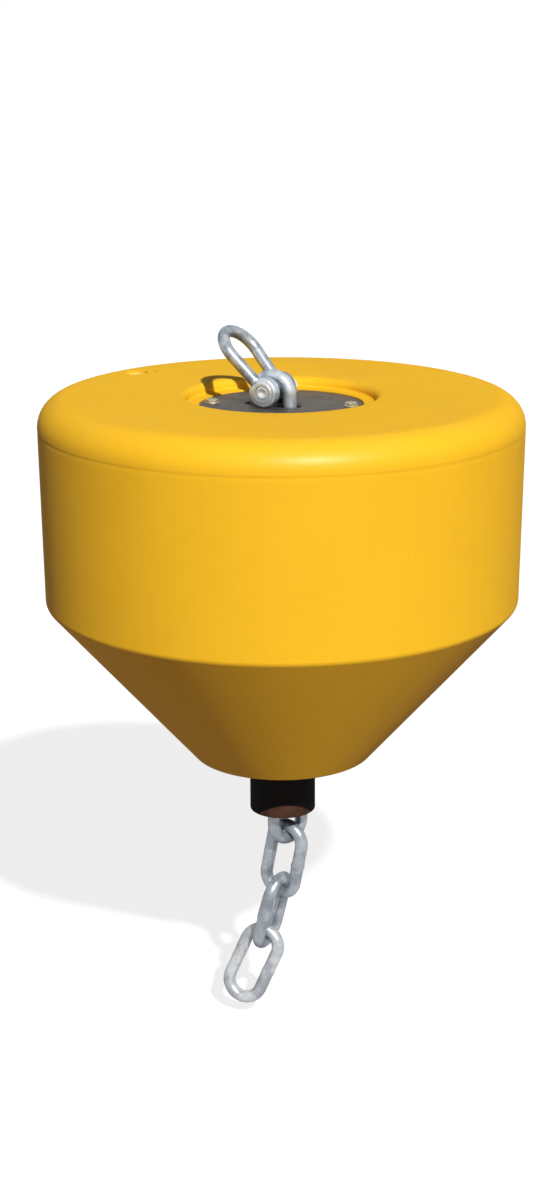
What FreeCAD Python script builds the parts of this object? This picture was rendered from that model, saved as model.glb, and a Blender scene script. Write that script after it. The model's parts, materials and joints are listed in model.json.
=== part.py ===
"""Mooring buoy: foam-filled float with a through-chain, a top shackle and a chafe hose.

Millimetres, +Z up.  The origin is on the float's axis at its working waterline.
"""
import FreeCAD
import Part
import math
import os

Vector = FreeCAD.Vector

# ---- float body ---------------------------------------------------------------------
DECK_Z = 250.0             # flat deck above the waterline
BODY_RADIUS = 400.0        # wall at the deck
WALL_DRAFT = 4.3           # the wall is this much narrower at its foot, so it leaves its mould
WALL_HEIGHT = 341.0        # deck to the corner above the cone
CONE_HEIGHT = 278.0
FOOT_RADIUS = 150.0        # flat foot of the cone
SHOULDER_FILLET = 50.0
KNUCKLE_FILLET = 14.0
FOOT_FILLET = 10.0

# ---- round recess in the deck -------------------------------------------------------
RECESS_RADIUS = 155.0
RECESS_DEPTH = 16.0
RECESS_LIP_FILLET = 11.5
RECESS_FLOOR_FILLET = 4.0

# ---- filler plug and vent on the deck -----------------------------------------------
PLUG_RADIUS = 20.0
PLUG_REACH = 323.0         # from the float's axis
PLUG_AZIMUTH = 141.0
PLUG_DISH = 3.0            # its seat lies this far under the deck
PLUG_THICKNESS = 10.0
VENT_RADIUS = 5.0
VENT_REACH = 313.0
VENT_AZIMUTH = 134.0
VENT_DISH = 1.0
VENT_THICKNESS = 6.0

# ---- steel top plate and its bolts --------------------------------------------------
PLATE_RADIUS = 135.0
PLATE_THICKNESS = 10.0
PLATE_DROP = 18.0          # top face below the deck
PLATE_EDGE_FILLET = 1.5
PLATE_SLOT_LENGTH = 100.0
PLATE_SLOT_WIDTH = 30.0
BOLT_COUNT = 4
BOLT_CIRCLE_RADIUS = 115.0
BOLT_FIRST_AZIMUTH = -8.0
BOLT_ACROSS_FLATS = 20.0
BOLT_HEAD_HEIGHT = 8.0
BOLT_WASHER_RADIUS = 13.0
BOLT_WASHER_THICKNESS = 2.0
BOLT_SHANK_RADIUS = 6.0
BOLT_SHANK_LENGTH = 55.0   # below the plate
BOLT_TIP_GAP = 1.0         # free depth under the shank in its hole
BOLT_HEAD_BEVEL = 1.0
BOLT_CLEARANCE = 0.3

# ---- bore and chafe hose ------------------------------------------------------------
HOSE_OUTER_RADIUS = 56.0
HOSE_WALL = 6.0
HOSE_OVERHANG = 105.0      # below the cone's foot
HOSE_TOP_DROP = 210.0      # the hose's collar seat below the deck
HOSE_COLLAR_WIDTH = 9.0    # how far the collar stands out of the hose
HOSE_COLLAR_HEIGHT = 12.0
HOSE_END_FILLET = 2.5
BORE_CLEARANCE = 0.3
WELL_CLEARANCE = 2.0       # round the hose's collar, where the bore is wide for the leaning chain

# ---- chain --------------------------------------------------------------------------
CHAIN_BAR = 22.0
CHAIN_INNER_LENGTH = 113.0
CHAIN_INNER_WIDTH = 39.0
LINK_GAP = 0.5             # between two bars that bear on each other
TOP_LINK_AZIMUTH = -28.0   # a link's azimuth is where its flat side runs, seen from above
HIDDEN_LINKS = 5           # links inside the float and its hose
CHAIN_LEAN = 1.66          # of the chain inside the float, degrees, towards +X
VISIBLE_SIDES = 16         # flats round the bar of a link that shows
VISIBLE_STEPS = 10         # straight stretches in each bend of such a link
HIDDEN_SIDES = 12
HIDDEN_STEPS = 8
# each hanging link: azimuth of its flat side, lean towards -X, lean towards +Y, degrees
HANGING_LINKS = (
    (40.0, -1.7, 0.0),
    (-37.0, 9.5, 11.0),
    (62.0, 12.0, 12.0),
    (-19.0, 23.5, 0.0),
)

# ---- bow shackle --------------------------------------------------------------------
PIN_X = -14.0
PIN_Y = 0.0
PIN_AZIMUTH = 62.0         # the pin's head points this way, seen from above
PIN_RADIUS = 11.0
PIN_CLEARANCE = 0.3
BOSS_RADIUS = 25.0
BOSS_REST_GAP = 0.3        # bosses above the plate
JAW = 36.0                 # between the two bosses
BOSS_WIDTH = 20.0
BOW_BAR = 20.0
LEG_OVERLAP = 5.0          # how far each leg of the bow runs into its boss
BOW_RADIUS = 40.0          # of the bow's centre line
BOW_REACH = 132.0          # pin centre to the outside of the bow
BOW_TILT = 43.0            # of the bow from upright, away from the pin's right-hand side
PIN_COLLAR_RADIUS = 17.0
PIN_COLLAR_WIDTH = 6.0
PIN_EYE_LENGTH = 30.0
PIN_EYE_WIDTH = 24.0
PIN_EYE_THICKNESS = 10.0
PIN_EYE_HOLE_RADIUS = 5.0
PIN_TIP = 1.0              # threaded end, proud of its boss

# ---- levels and places worked out from the sizes above ------------------------------
KNUCKLE_Z = DECK_Z - WALL_HEIGHT
FOOT_Z = KNUCKLE_Z - CONE_HEIGHT
WALL_FOOT_RADIUS = BODY_RADIUS - WALL_DRAFT
RECESS_Z = DECK_Z - RECESS_DEPTH
PLATE_TOP_Z = DECK_Z - PLATE_DROP
PLATE_BOTTOM_Z = PLATE_TOP_Z - PLATE_THICKNESS
HOSE_SEAT_Z = DECK_Z - HOSE_TOP_DROP
HOSE_END_Z = FOOT_Z - HOSE_OVERHANG
HOSE_INNER_RADIUS = HOSE_OUTER_RADIUS - HOSE_WALL
HOSE_COLLAR_RADIUS = HOSE_OUTER_RADIUS + HOSE_COLLAR_WIDTH
TOP_WELL_RADIUS = HOSE_COLLAR_RADIUS + WELL_CLEARANCE
PIN_CENTRE = Vector(PIN_X, PIN_Y, PLATE_TOP_Z + BOSS_RADIUS + BOSS_REST_GAP)
BEND_RADIUS = (CHAIN_INNER_WIDTH + CHAIN_BAR) / 2
CROWN_TO_CROWN = CHAIN_INNER_LENGTH + CHAIN_BAR


def polar(radius, azimuth, z=0.0):
    """A point at a radius and an azimuth in degrees."""
    angle = math.radians(azimuth)
    return Vector(radius * math.cos(angle), radius * math.sin(angle), z)


def level(azimuth):
    """The level unit vector at an azimuth in degrees."""
    return polar(1.0, azimuth)


def rounded_profile(corners):
    """Solid of revolution of (radius, z, fillet) corners, the filleted ones rounded by arcs."""
    count = len(corners)
    edges = []
    cuts = []
    for i, (r, z, fillet) in enumerate(corners):
        here = Vector(r, 0, z)
        if not fillet:
            cuts.append((here, None, here))
            continue
        before = Vector(corners[i - 1][0], 0, corners[i - 1][1])
        after = Vector(corners[(i + 1) % count][0], 0, corners[(i + 1) % count][1])
        to_before = (before - here).normalize()
        to_after = (after - here).normalize()
        half = to_before.getAngle(to_after) / 2
        reach = fillet / math.tan(half)
        bisector = (to_before + to_after).normalize()
        middle = here + bisector * (fillet / math.sin(half) - fillet)
        cuts.append((here + to_before * reach, middle, here + to_after * reach))
    for i, (start, middle, end) in enumerate(cuts):
        if middle is not None:
            edges.append(Part.Arc(start, middle, end).toShape())
        edges.append(Part.makeLine(end, cuts[(i + 1) % count][0]))
    face = Part.Face(Part.Wire(edges))
    return face.revolve(Vector(0, 0, 0), Vector(0, 0, 1), 360)


def rod(start, end, radius):
    """Round rod between two points."""
    axis = end - start
    return Part.makeCylinder(radius, axis.Length, start, axis)


# ---- float --------------------------------------------------------------------------
def bolt_azimuths():
    """Where the plate's bolts stand."""
    return [BOLT_FIRST_AZIMUTH + i * 360.0 / BOLT_COUNT for i in range(BOLT_COUNT)]


def make_float_body():
    """Hull with its deck recess, the plate's rebate, the bore and the bolt and plug holes."""
    bore = HOSE_OUTER_RADIUS + BORE_CLEARANCE
    rebate = PLATE_RADIUS + BORE_CLEARANCE
    body = rounded_profile([
        (bore, FOOT_Z, 0),
        (FOOT_RADIUS, FOOT_Z, FOOT_FILLET),
        (WALL_FOOT_RADIUS, KNUCKLE_Z, KNUCKLE_FILLET),
        (BODY_RADIUS, DECK_Z, SHOULDER_FILLET),
        (RECESS_RADIUS, DECK_Z, RECESS_LIP_FILLET),
        (RECESS_RADIUS, RECESS_Z, RECESS_FLOOR_FILLET),
        (rebate, RECESS_Z, 0),
        (rebate, PLATE_BOTTOM_Z, 0),
        (TOP_WELL_RADIUS, PLATE_BOTTOM_Z, 0),
        (TOP_WELL_RADIUS, HOSE_SEAT_Z, 0),
        (bore, HOSE_SEAT_Z, 0),
    ])
    for azimuth in bolt_azimuths():
        mouth = polar(BOLT_CIRCLE_RADIUS, azimuth, PLATE_BOTTOM_Z)
        depth = BOLT_SHANK_LENGTH + BOLT_TIP_GAP
        hole = rod(mouth, mouth - Vector(0, 0, depth), BOLT_SHANK_RADIUS + BOLT_CLEARANCE)
        body = body.cut(hole)
    plug_seat = Part.makeCylinder(
        PLUG_RADIUS + BORE_CLEARANCE, PLUG_DISH + PLUG_THICKNESS,
        polar(PLUG_REACH, PLUG_AZIMUTH, DECK_Z - PLUG_DISH - PLUG_THICKNESS))
    vent_seat = Part.makeCylinder(
        VENT_RADIUS + BORE_CLEARANCE, VENT_DISH + VENT_THICKNESS,
        polar(VENT_REACH, VENT_AZIMUTH, DECK_Z - VENT_DISH - VENT_THICKNESS))
    return body.cut(plug_seat).cut(vent_seat)


def make_filler_plug():
    """Round plug over the foam filling hole."""
    seat = polar(PLUG_REACH, PLUG_AZIMUTH, DECK_Z - PLUG_DISH - PLUG_THICKNESS)
    return Part.makeCylinder(PLUG_RADIUS, PLUG_THICKNESS, seat)


def make_vent_plug():
    """Small plug in the vent hole beside the filler."""
    seat = polar(VENT_REACH, VENT_AZIMUTH, DECK_Z - VENT_DISH - VENT_THICKNESS)
    return Part.makeCylinder(VENT_RADIUS, VENT_THICKNESS, seat)


def make_chafe_hose():
    """Rubber hose with a collar that hangs it on the step in the bore."""
    return rounded_profile([
        (HOSE_INNER_RADIUS, HOSE_END_Z, HOSE_END_FILLET),
        (HOSE_OUTER_RADIUS, HOSE_END_Z, HOSE_END_FILLET),
        (HOSE_OUTER_RADIUS, HOSE_SEAT_Z, 0),
        (HOSE_COLLAR_RADIUS, HOSE_SEAT_Z, 0),
        (HOSE_COLLAR_RADIUS, HOSE_SEAT_Z + HOSE_COLLAR_HEIGHT, 0),
        (HOSE_INNER_RADIUS, HOSE_SEAT_Z + HOSE_COLLAR_HEIGHT, 0),
    ])


# ---- top plate ----------------------------------------------------------------------
def make_slot(length, width, height, centre, azimuth):
    """Round-ended bar that cuts a slot, standing on its centre point."""
    half = length / 2 - width / 2
    bar = Part.makeBox(2 * half, width, height, Vector(-half, -width / 2, 0))
    for side in (-half, half):
        bar = bar.fuse(Part.makeCylinder(width / 2, height, Vector(side, 0, 0)))
    bar.rotate(Vector(0, 0, 0), Vector(0, 0, 1), azimuth)
    bar.translate(centre)
    return bar


def make_top_plate():
    """Round steel plate with the top link's slot and four bolt holes."""
    plate = rounded_profile([
        (0, PLATE_BOTTOM_Z, 0),
        (PLATE_RADIUS, PLATE_BOTTOM_Z, 0),
        (PLATE_RADIUS, PLATE_TOP_Z, PLATE_EDGE_FILLET),
        (0, PLATE_TOP_Z, 0),
    ])
    under = Vector(PIN_X, PIN_Y, PLATE_BOTTOM_Z - PLATE_THICKNESS)
    slot = make_slot(PLATE_SLOT_LENGTH, PLATE_SLOT_WIDTH, 3 * PLATE_THICKNESS, under, TOP_LINK_AZIMUTH)
    plate = plate.cut(slot)
    for azimuth in bolt_azimuths():
        start = polar(BOLT_CIRCLE_RADIUS, azimuth, PLATE_BOTTOM_Z)
        hole = rod(start, start + Vector(0, 0, PLATE_THICKNESS), BOLT_SHANK_RADIUS + BOLT_CLEARANCE)
        plate = plate.cut(hole)
    return plate


def make_plate_bolt(azimuth):
    """Hexagon bolt with its washer."""
    foot = polar(BOLT_CIRCLE_RADIUS, azimuth, PLATE_TOP_Z)
    washer = Part.makeCylinder(BOLT_WASHER_RADIUS, BOLT_WASHER_THICKNESS, foot)
    corner = BOLT_ACROSS_FLATS / 2 / math.cos(math.radians(30))
    head_z = PLATE_TOP_Z + BOLT_WASHER_THICKNESS
    corners = [Vector(foot.x, foot.y, head_z) + polar(corner, azimuth + i * 60) for i in range(7)]
    head = Part.Face(Part.makePolygon(corners)).extrude(Vector(0, 0, BOLT_HEAD_HEIGHT))
    top_radius = BOLT_ACROSS_FLATS / 2 - BOLT_HEAD_BEVEL
    bevel = Part.makeCone(
        top_radius + BOLT_HEAD_HEIGHT + BOLT_HEAD_BEVEL, top_radius, BOLT_HEAD_HEIGHT + BOLT_HEAD_BEVEL,
        Vector(foot.x, foot.y, head_z))
    head = head.common(bevel)
    tip = foot - Vector(0, 0, PLATE_THICKNESS + BOLT_SHANK_LENGTH)
    shank = rod(tip, foot + Vector(0, 0, BOLT_WASHER_THICKNESS), BOLT_SHANK_RADIUS)
    return washer.fuse(head).fuse(shank).removeSplitter()


# ---- chain --------------------------------------------------------------------------
class Link:
    """One chain link: its top crown, its long axis (down) and its flat direction."""

    def __init__(self, crown, down, azimuth):
        self.crown = crown
        self.down = down.normalize()
        flat = level(azimuth)
        self.flat = (flat - self.down * flat.dot(self.down)).normalize()
        self.foot = crown + self.down * CROWN_TO_CROWN

    def child(self, down, azimuth):
        """The link that hangs in this one, its crown one bar and a gap above the foot."""
        below = Link(self.foot, down, azimuth)
        bearing = self.flat.cross(below.flat).normalize()
        if bearing.dot(down) < 0:
            bearing = bearing * -1
        return Link(self.foot - bearing * (CHAIN_BAR + LINK_GAP), down, azimuth)

    def solid(self, sides, steps):
        """Bar bent round both ends, with flats along and round it."""
        normal = self.down.cross(self.flat)
        rings = []
        for middle, start in ((self.crown + self.down * BEND_RADIUS, 0.0),
                              (self.foot - self.down * BEND_RADIUS, math.pi)):
            for i in range(steps + 1):
                angle = start + math.pi * i / steps
                out = self.flat * math.cos(angle) - self.down * math.sin(angle)
                rings.append(section_ring(middle, out, normal, sides))
        return faceted_loop(rings)


def section_ring(bend_centre, out, normal, sides):
    """Corners of the bar's section where it passes in one direction from a bend's centre."""
    points = []
    for k in range(sides):
        turn = 2 * math.pi * (k + 0.5) / sides
        across = out * (BEND_RADIUS + math.cos(turn) * CHAIN_BAR / 2)
        points.append(bend_centre + across + normal * (math.sin(turn) * CHAIN_BAR / 2))
    return points


def faceted_loop(rings):
    """Closed solid of flat faces between rings of points that follow each other in a loop."""
    faces = []
    sides = len(rings[0])
    for i, ring in enumerate(rings):
        following = rings[(i + 1) % len(rings)]
        for k in range(sides):
            j = (k + 1) % sides
            corners = [ring[k], ring[j], following[j], following[k]]
            faces.append(Part.Face(Part.makePolygon(corners + corners[:1])))
    solid = Part.makeSolid(Part.makeShell(faces))
    if solid.Volume < 0:
        solid.reverse()
    return solid


def down_direction(lean_left, lean_back):
    """Unit vector that points down, leaning towards -X and +Y by two angles in degrees."""
    left = math.tan(math.radians(lean_left))
    back = math.tan(math.radians(lean_back))
    return Vector(-left, back, -1).normalize()


def chain_links():
    """Every link from the top one down, as it hangs."""
    crown = PIN_CENTRE + Vector(0, 0, PIN_RADIUS + LINK_GAP + CHAIN_BAR / 2)
    inner_down = down_direction(-CHAIN_LEAN, 0)
    turn = (HANGING_LINKS[0][0] - TOP_LINK_AZIMUTH) / (HIDDEN_LINKS + 1) + 90.0
    links = [Link(crown, inner_down, TOP_LINK_AZIMUTH)]
    for i in range(1, HIDDEN_LINKS + 1):
        links.append(links[-1].child(inner_down, TOP_LINK_AZIMUTH + i * turn))
    for azimuth, lean_left, lean_back in HANGING_LINKS:
        links.append(links[-1].child(down_direction(lean_left, lean_back), azimuth))
    return links


# ---- shackle ------------------------------------------------------------------------
PIN_AXIS = level(PIN_AZIMUTH)
BOW_SIDE = level(PIN_AZIMUTH + 90)


def bow_direction():
    """From the pin's centre to the bow's crown."""
    tilt = math.radians(BOW_TILT)
    return BOW_SIDE * math.sin(tilt) + Vector(0, 0, math.cos(tilt))


def make_shackle_bow():
    """Forged bow: two bosses joined by a round bar that widens into a ring."""
    up = bow_direction()
    leg = JAW / 2 + BOSS_WIDTH / 2
    ring_height = BOW_REACH - BOW_BAR / 2 - BOW_RADIUS
    reach = math.hypot(leg, ring_height)
    splay = math.atan2(ring_height, -leg) - math.asin(BOW_RADIUS / reach)
    tangent = math.sqrt(reach ** 2 - BOW_RADIUS ** 2)

    def place(along, height):
        return PIN_CENTRE + PIN_AXIS * along + up * height

    start_offset = BOSS_RADIUS - LEG_OVERLAP
    start = (leg + math.cos(splay) * start_offset, math.sin(splay) * start_offset)
    touch = (leg + math.cos(splay) * tangent, math.sin(splay) * tangent)
    wire = Part.Wire([
        Part.makeLine(place(*start), place(*touch)),
        Part.Arc(place(*touch), place(0, ring_height + BOW_RADIUS), place(-touch[0], touch[1])).toShape(),
        Part.makeLine(place(-touch[0], touch[1]), place(-start[0], start[1])),
    ])
    direction = place(*touch) - place(*start)
    section = Part.Wire(Part.makeCircle(BOW_BAR / 2, place(*start), direction))
    bow = wire.makePipeShell([section], True, False)
    for side in (-1, 1):
        inner = PIN_CENTRE + PIN_AXIS * (side * JAW / 2)
        outer = PIN_CENTRE + PIN_AXIS * (side * (JAW / 2 + BOSS_WIDTH))
        bow = bow.fuse(rod(inner, outer, BOSS_RADIUS))
    jaw = rod(place(-JAW / 2, 0), place(JAW / 2, 0), BOSS_RADIUS)
    through = JAW / 2 + BOSS_WIDTH
    hole = rod(place(-through, 0), place(through, 0), PIN_RADIUS + PIN_CLEARANCE)
    return bow.cut(jaw).cut(hole)


def make_shackle_pin():
    """Screw pin with a collar and a flat eye to turn it by."""
    half = JAW / 2 + BOSS_WIDTH
    up = bow_direction()
    pin = rod(PIN_CENTRE - PIN_AXIS * (half + PIN_TIP), PIN_CENTRE + PIN_AXIS * half, PIN_RADIUS)
    collar_start = PIN_CENTRE + PIN_AXIS * half
    collar_end = collar_start + PIN_AXIS * PIN_COLLAR_WIDTH
    collar = rod(collar_start, collar_end, PIN_COLLAR_RADIUS)
    across = PIN_AXIS.cross(up)
    eye_centre = collar_end + PIN_AXIS * (PIN_EYE_LENGTH - PIN_EYE_WIDTH / 2)
    face = across * (PIN_EYE_THICKNESS / 2)
    eye = rod(eye_centre - face, eye_centre + face, PIN_EYE_WIDTH / 2)
    corners = [collar_start + up * (PIN_EYE_WIDTH / 2) - face, eye_centre + up * (PIN_EYE_WIDTH / 2) - face,
               eye_centre - up * (PIN_EYE_WIDTH / 2) - face, collar_start - up * (PIN_EYE_WIDTH / 2) - face]
    tab = Part.Face(Part.makePolygon(corners + corners[:1])).extrude(face * 2)
    hole = rod(eye_centre - face * 2, eye_centre + face * 2, PIN_EYE_HOLE_RADIUS)
    return pin.fuse(collar).fuse(tab).fuse(eye).cut(hole).removeSplitter()


# ---- assembly -----------------------------------------------------------------------
def build():
    """Every node of the buoy by its name."""
    links = chain_links()
    hidden = links[1:HIDDEN_LINKS + 1]
    nodes = {
        "float_body": make_float_body(),
        "filler_plug": make_filler_plug(),
        "vent_plug": make_vent_plug(),
        "chafe_hose": make_chafe_hose(),
        "top_plate": make_top_plate(),
        "plate_bolts": Part.makeCompound([make_plate_bolt(azimuth) for azimuth in bolt_azimuths()]),
        "top_link": links[0].solid(VISIBLE_SIDES, VISIBLE_STEPS),
        "inner_chain": Part.makeCompound([link.solid(HIDDEN_SIDES, HIDDEN_STEPS) for link in hidden]),
        "shackle_bow": make_shackle_bow(),
        "shackle_pin": make_shackle_pin(),
    }
    for number, link in enumerate(links[HIDDEN_LINKS + 1:], start=1):
        nodes[f"chain_link_{number}"] = link.solid(VISIBLE_SIDES, VISIBLE_STEPS)
    return nodes


def report_places():
    """Print the joints' places, which the assembly's description uses."""
    links = chain_links()
    print("shackle pin", [round(v, 3) for v in PIN_CENTRE], "axis", [round(v, 4) for v in PIN_AXIS])
    for number, link in enumerate(links[HIDDEN_LINKS + 1:], start=1):
        parent = links[HIDDEN_LINKS + number - 1]
        print("link", number, "crown", [round(v, 2) for v in link.crown],
              "foot", [round(v, 2) for v in link.foot], "flat", [round(v, 4) for v in link.flat],
              "parent foot", [round(v, 3) for v in parent.foot], "parent flat",
              [round(v, 4) for v in parent.flat])


os.makedirs("parts", exist_ok=True)
for name, shape in build().items():
    shape.exportStep(os.path.join("parts", name + ".step"))
    print(name, "valid", shape.isValid(), "solids", len(shape.Solids), "litres", round(shape.Volume / 1e6, 3))
report_places()
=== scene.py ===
"""Mooring buoy: the dressed pieces, finishes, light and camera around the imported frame.

Metres, +Z up, in the frame's own axes.  Every piece takes its place from the frame's nodes and joints.
"""
import json
import logging
from contextlib import contextmanager
from dataclasses import dataclass
from enum import Enum
from math import asin, atan2, cos, hypot, pi, radians, sin, sqrt, tan, tau
from typing import Callable, Iterator, Sequence

import bmesh
import bpy
import numpy as np
from mathutils import Matrix, Vector

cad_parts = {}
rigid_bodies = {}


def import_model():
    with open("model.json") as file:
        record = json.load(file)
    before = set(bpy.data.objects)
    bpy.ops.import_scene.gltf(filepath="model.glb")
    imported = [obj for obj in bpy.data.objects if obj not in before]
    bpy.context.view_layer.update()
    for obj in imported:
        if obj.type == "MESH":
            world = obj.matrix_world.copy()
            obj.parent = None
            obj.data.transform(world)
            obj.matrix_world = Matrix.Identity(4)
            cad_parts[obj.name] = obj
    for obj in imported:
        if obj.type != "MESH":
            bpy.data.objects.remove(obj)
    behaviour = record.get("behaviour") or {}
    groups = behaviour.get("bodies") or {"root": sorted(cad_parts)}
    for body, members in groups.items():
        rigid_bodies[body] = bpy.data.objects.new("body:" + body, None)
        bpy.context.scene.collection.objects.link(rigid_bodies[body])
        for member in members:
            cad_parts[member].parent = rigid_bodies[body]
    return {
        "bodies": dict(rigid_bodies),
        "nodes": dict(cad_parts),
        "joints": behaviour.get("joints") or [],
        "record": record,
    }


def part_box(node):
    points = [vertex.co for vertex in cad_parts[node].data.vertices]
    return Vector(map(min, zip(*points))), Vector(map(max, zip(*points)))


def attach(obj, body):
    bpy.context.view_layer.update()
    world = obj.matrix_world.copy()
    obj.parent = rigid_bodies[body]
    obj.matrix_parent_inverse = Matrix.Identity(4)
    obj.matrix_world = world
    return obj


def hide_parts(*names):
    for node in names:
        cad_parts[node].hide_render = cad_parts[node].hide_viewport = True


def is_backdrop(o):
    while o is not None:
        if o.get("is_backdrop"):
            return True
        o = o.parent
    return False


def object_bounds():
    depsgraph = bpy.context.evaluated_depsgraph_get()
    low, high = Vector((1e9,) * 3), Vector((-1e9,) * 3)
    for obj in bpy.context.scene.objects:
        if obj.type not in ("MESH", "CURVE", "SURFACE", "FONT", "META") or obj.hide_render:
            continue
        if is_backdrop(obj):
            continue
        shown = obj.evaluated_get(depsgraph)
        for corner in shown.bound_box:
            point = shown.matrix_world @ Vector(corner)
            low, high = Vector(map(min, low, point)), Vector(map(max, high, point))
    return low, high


LOG = logging.getLogger("buoy")
MM = 0.001
OBJECT = bpy.types.Object
MATERIAL = bpy.types.Material
TREE = bpy.types.NodeTree
SOCKET = bpy.types.NodeSocket
VALUE = float | SOCKET
SOCKETS = bpy.types.bpy_prop_collection
Rgba = tuple[float, float, float, float]
Xyz = tuple[float, float, float]
WHITE = (1, 1, 1, 1)


# ---- modelling helpers ----
def deselect_all() -> None:
    """Leave nothing selected and no mode open."""
    if bpy.context.object and bpy.context.object.mode != "OBJECT":
        bpy.ops.object.mode_set(mode="OBJECT")
    bpy.ops.object.select_all(action="DESELECT")


def take(obj: OBJECT) -> None:
    """Make one object the only selected and active one.

    Args:
        obj: the object.
    """
    deselect_all()
    obj.select_set(True)
    bpy.context.view_layer.objects.active = obj


def start(name: str, operator: Callable[..., object], **values: object) -> OBJECT:
    """Start a piece from a primitive, whose place and size go into its mesh.

    Args:
        name: the piece's name.
        operator: the one that adds the primitive.
        values: the primitive's settings.
    Returns:
        The primitive, its object at the origin, unturned and unscaled.
    """
    deselect_all()
    operator(**values)
    obj = bpy.context.object
    obj.name = name
    obj.data.name = name
    bpy.ops.object.transform_apply(location=True, rotation=True, scale=True)
    return obj


def copy_of(obj: OBJECT, name: str) -> OBJECT:
    """Copy a piece that repeats.

    Args:
        obj: the piece.
        name: the copy's name.
    Returns:
        The copy, with its own mesh.
    """
    copy = bpy.data.objects.new(name, obj.data.copy())
    copy.data.name = name
    bpy.context.scene.collection.objects.link(copy)
    return copy


def place(obj: OBJECT, matrix: Matrix) -> OBJECT:
    """Carry a piece's mesh from its own axes to the frame's.

    Args:
        obj: a piece modelled about the origin.
        matrix: where its axes stand in the frame.
    Returns:
        The piece, its object still at the origin.
    """
    obj.data.transform(matrix)
    obj.data.update()
    return obj


@contextmanager
def editing(obj: OBJECT, test: Callable[[Vector], bool] = lambda co: True) -> Iterator[None]:
    """Edit mode with the vertices selected whose place passes a test.

    Args:
        obj: the mesh to edit.
        test: takes a vertex's place and says whether to select it; all are, without one.
    """
    take(obj)
    bpy.ops.object.mode_set(mode="EDIT")
    bpy.ops.mesh.select_mode(type="VERT")
    bpy.ops.mesh.select_all(action="DESELECT")
    mesh = bmesh.from_edit_mesh(obj.data)
    for vertex in mesh.verts:
        vertex.select = test(vertex.co)
    mesh.select_flush(True)
    bmesh.update_edit_mesh(obj.data)
    yield
    bpy.ops.object.mode_set(mode="OBJECT")


def apply_modifier(obj: OBJECT, kind: str, **values: object) -> None:
    """Add one modifier with its settings and apply it.

    Args:
        obj: the mesh to change.
        kind: the modifier's type.
        values: settings by name.
    """
    take(obj)
    modifier = obj.modifiers.new(kind.title(), kind)
    for key, value in values.items():
        setattr(modifier, key, value)
    bpy.ops.object.modifier_apply(modifier=modifier.name)


def bevel(obj: OBJECT, width: float, segments: int = 2, angle: float = 30.0) -> OBJECT:
    """Round a mesh's sharp edges.

    Args:
        obj: the mesh to change.
        width: how wide the rounding is.
        segments: faces across it.
        angle: edges flatter than this stay as they are, in degrees.
    Returns:
        The same object.
    """
    apply_modifier(obj, "BEVEL", width=width, segments=segments, limit_method="ANGLE",
                   angle_limit=radians(angle))
    return obj


def join(parts: Sequence[OBJECT], name: str) -> OBJECT:
    """Join meshes into one object.

    Args:
        parts: the meshes, the first of which stays.
        name: the joined object's name.
    Returns:
        The joined object.
    """
    deselect_all()
    for part in parts:
        part.select_set(True)
    bpy.context.view_layer.objects.active = parts[0]
    bpy.ops.object.join()
    parts[0].name = name
    parts[0].data.name = name
    return parts[0]


def close_up(obj: OBJECT, smooth_angle: float = 35.0) -> OBJECT:
    """Merge doubles, turn the faces outwards and shade smooth up to an angle.

    Args:
        obj: the mesh to finish.
        smooth_angle: edges sharper than this stay sharp, in degrees.
    Returns:
        The same object.
    """
    with editing(obj):
        bpy.ops.mesh.remove_doubles(threshold=0.01 * MM)
        bpy.ops.mesh.normals_make_consistent(inside=False)
    bpy.ops.object.shade_smooth_by_angle(angle=radians(smooth_angle))
    return obj


def cut_with(obj: OBJECT, cutter: OBJECT, operation: str = "DIFFERENCE") -> None:
    """Cut a closed mesh by another, which goes: DIFFERENCE takes it away, INTERSECT keeps what both share."""
    apply_modifier(obj, "BOOLEAN", operation=operation, object=cutter, solver="EXACT")
    bpy.data.objects.remove(cutter)


def rod(name: str, radius: float, depth: float, sides: int = 64, axis: str = "Z",
        at: Sequence[float] = (0, 0, 0)) -> OBJECT:
    """A plain round bar as the start of a piece.

    Args:
        name: the object's name.
        radius: the bar's radius.
        depth: its length.
        sides: flats round it.
        axis: the axis it lies along, X, Y or Z.
        at: its middle.
    Returns:
        The bar.
    """
    turn = {"X": (0, pi / 2, 0), "Y": (pi / 2, 0, 0), "Z": (0, 0, 0)}[axis]
    return start(name, bpy.ops.mesh.primitive_cylinder_add, vertices=sides, radius=radius, depth=depth,
                 location=at, rotation=turn)


@dataclass(frozen=True)
class Corner:
    """One corner of a turned outline: radius, height and the fillet that rounds it."""

    radius: float
    z: float
    fillet: float = 0.0


def rounded_outline(corners: Sequence[Corner], steps: int = 10) -> list[tuple[float, float]]:
    """Points of a closed outline with its corners rounded.

    Args:
        corners: the outline's corners in order.
        steps: stretches in each rounded corner.
    Returns:
        (radius, height) points, without the first one repeated.
    """
    points: list[tuple[float, float]] = []
    for i, corner in enumerate(corners):
        here = Vector((corner.radius, corner.z))
        if corner.fillet <= 0:
            points.append((here.x, here.y))
            continue
        before, after = corners[i - 1], corners[(i + 1) % len(corners)]
        to_before = (Vector((before.radius, before.z)) - here).normalized()
        to_after = (Vector((after.radius, after.z)) - here).normalized()
        half = to_before.angle(to_after) / 2
        reach = corner.fillet / tan(half)
        centre = here + (to_before + to_after).normalized() * (corner.fillet / sin(half))
        spoke = here + to_before * reach - centre
        sweep = spoke.angle_signed(here + to_after * reach - centre)
        for step in range(steps + 1):
            turned = Matrix.Rotation(-sweep * step / steps, 2) @ spoke
            points.append((centre.x + turned.x, centre.y + turned.y))
    return points


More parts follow.
